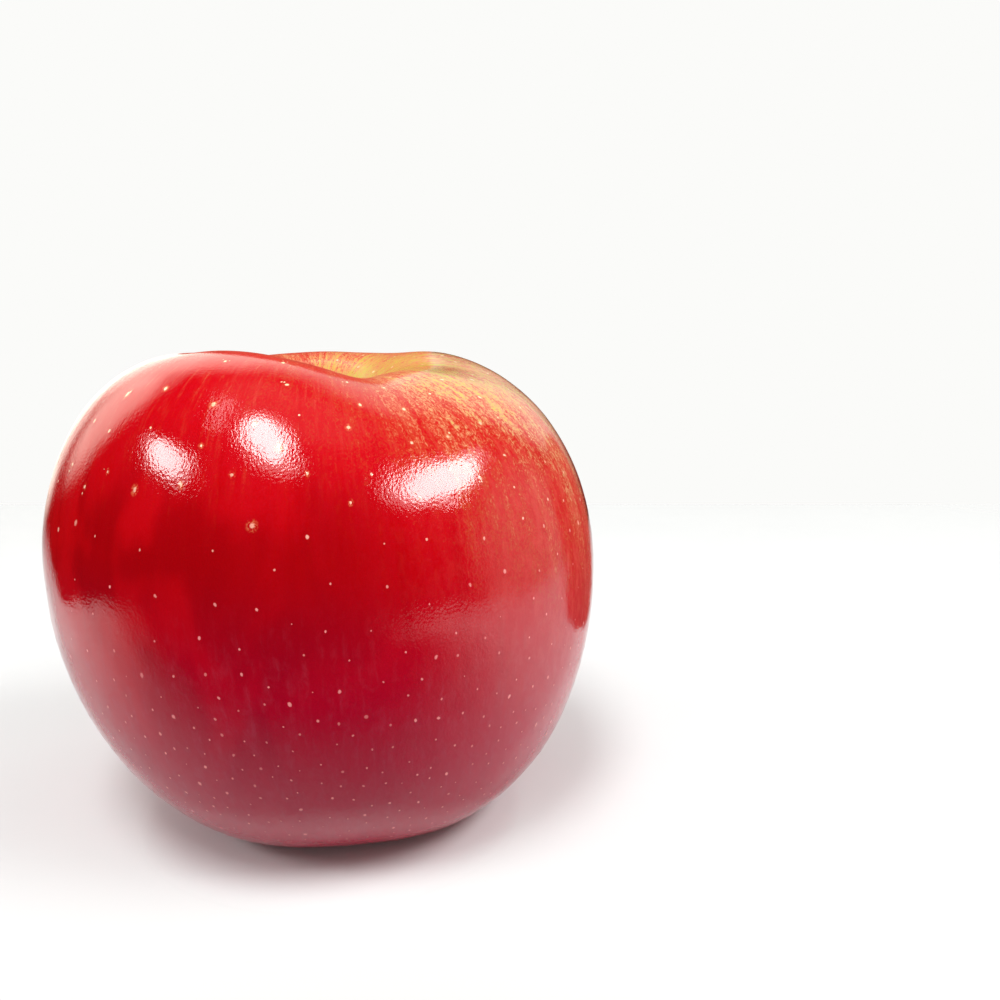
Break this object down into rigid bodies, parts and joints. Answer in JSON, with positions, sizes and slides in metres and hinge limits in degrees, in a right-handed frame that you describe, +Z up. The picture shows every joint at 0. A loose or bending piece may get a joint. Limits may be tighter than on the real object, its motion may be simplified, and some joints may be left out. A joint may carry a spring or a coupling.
{
  "type": "apple",
  "caption": "Large round red eating apple with a deep uneven stem cavity, a short woody stem and a dried calyx in the basin that it stands on.",
  "frame": {"origin": "middle of the base, on the surface that the apple stands on", "axes": "+Z up from the eye end to the stem end, +X to the right and -Y towards the viewer of the picture"},
  "size_m": [0.0841, 0.084, 0.0727],
  "materials": {
    "skin": "smooth waxy apple skin, deep red with fine lengthwise streaks and pale dots",
    "stem": "dry brown bark",
    "calyx": "dried brown sepals, matt and wrinkled"
  },
  "bodies": {
    "root": {"fruit": "skin", "stem": "stem", "calyx": "calyx"}
  },
  "joints": []
}
